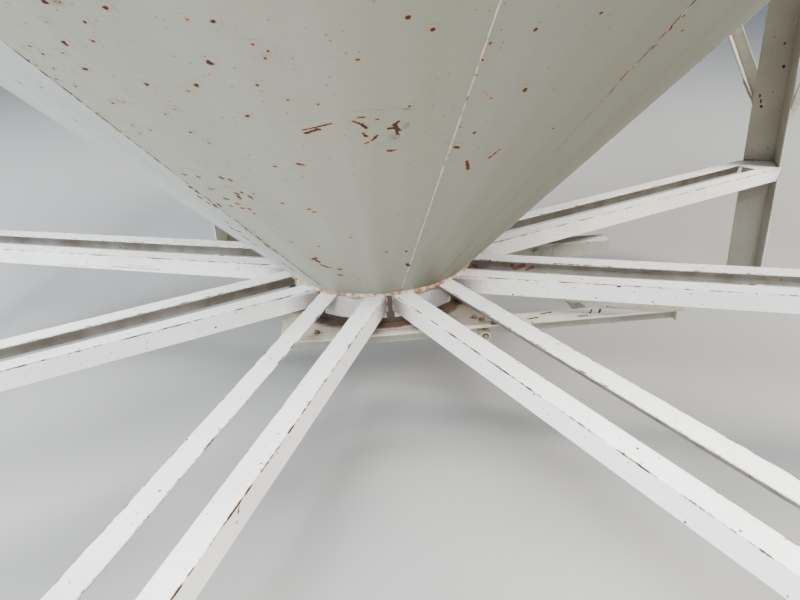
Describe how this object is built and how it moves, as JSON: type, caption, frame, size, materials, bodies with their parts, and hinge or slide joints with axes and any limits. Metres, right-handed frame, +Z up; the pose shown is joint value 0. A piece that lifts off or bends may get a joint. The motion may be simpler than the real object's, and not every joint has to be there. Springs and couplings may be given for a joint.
{
  "type": "grain silo with a hopper bottom",
  "caption": "Round steel grain silo on angle-iron legs, with a welded hopper cone, paired level struts to the outlet collar, bay braces, a cone roof and a rack-driven slide gate.",
  "frame": {"origin": "on the ground below the centre of the outlet", "axes": "+Z up; +X along the slide gate's rails, the way the blade opens; the picture looks along +Y"},
  "size_m": [4.6526, 4.6526, 7.548],
  "materials": {
    "bin_paint": "weathered off-white enamel on rolled steel plate, with rust specks",
    "strut_paint": "weathered white enamel on angle iron, rust along the edges",
    "gate_paint": "dirty cream enamel with rust",
    "bare_steel": "rusty bare steel"
  },
  "bodies": {
    "frame": {"cone_plate_1": "bin_paint", "cone_plate_2": "bin_paint", "cone_plate_3": "bin_paint", "cone_plate_4": "bin_paint", "cone_plate_5": "bin_paint", "cone_plate_6": "bin_paint", "cone_plate_7": "bin_paint", "cone_plate_8": "bin_paint", "wall_1": "bin_paint", "wall_2": "bin_paint", "wall_3": "bin_paint", "wall_4": "bin_paint", "roof_1": "bin_paint", "roof_2": "bin_paint", "roof_3": "bin_paint", "roof_4": "bin_paint", "filling_neck": "bin_paint", "neck_lid": "bin_paint", "leg_1": "bin_paint", "leg_2": "bin_paint", "leg_3": "bin_paint", "leg_4": "bin_paint", "leg_5": "bin_paint", "leg_6": "bin_paint", "leg_7": "bin_paint", "leg_8": "bin_paint", "bay_frame_1": "bin_paint", "bay_frame_2": "bin_paint", "bay_frame_3": "bin_paint", "bay_frame_4": "bin_paint", "bay_frame_5": "bin_paint", "bay_frame_6": "bin_paint", "bay_frame_7": "bin_paint", "bay_frame_8": "bin_paint", "outlet_collar": "bin_paint", "strut_pair_1": "strut_paint", "strut_pair_2": "strut_paint", "strut_pair_3": "strut_paint", "strut_pair_4": "strut_paint", "strut_pair_5": "strut_paint", "strut_pair_6": "strut_paint", "strut_pair_7": "strut_paint", "strut_pair_8": "strut_paint", "gate_top_plate": "gate_paint", "gate_spacer_plate": "gate_paint", "rail_front": "gate_paint", "rail_rear": "gate_paint", "gate_stop_bar": "gate_paint", "gate_cross_bar": "gate_paint", "shaft_sleeve_front": "gate_paint", "shaft_sleeve_rear": "gate_paint"},
    "blade": {"gate_blade": "bare_steel"},
    "shaft": {"pinion_shaft": "bare_steel"}
  },
  "joints": [
    {"name": "gate_slide", "type": "slide", "parent": "frame", "child": "blade", "axis": [1, 0, 0], "range_m": [0, 0.65]},
    {"name": "shaft_turn", "type": "hinge", "parent": "frame", "child": "shaft", "pos_m": [0.33, 0, 0.496], "axis": [0, 1, 0], "range_deg": [0, 1817]}
  ],
  "couplings": [
    {"joint": "shaft_turn", "follows": "gate_slide", "rad_per_m": 48.78}
  ]
}
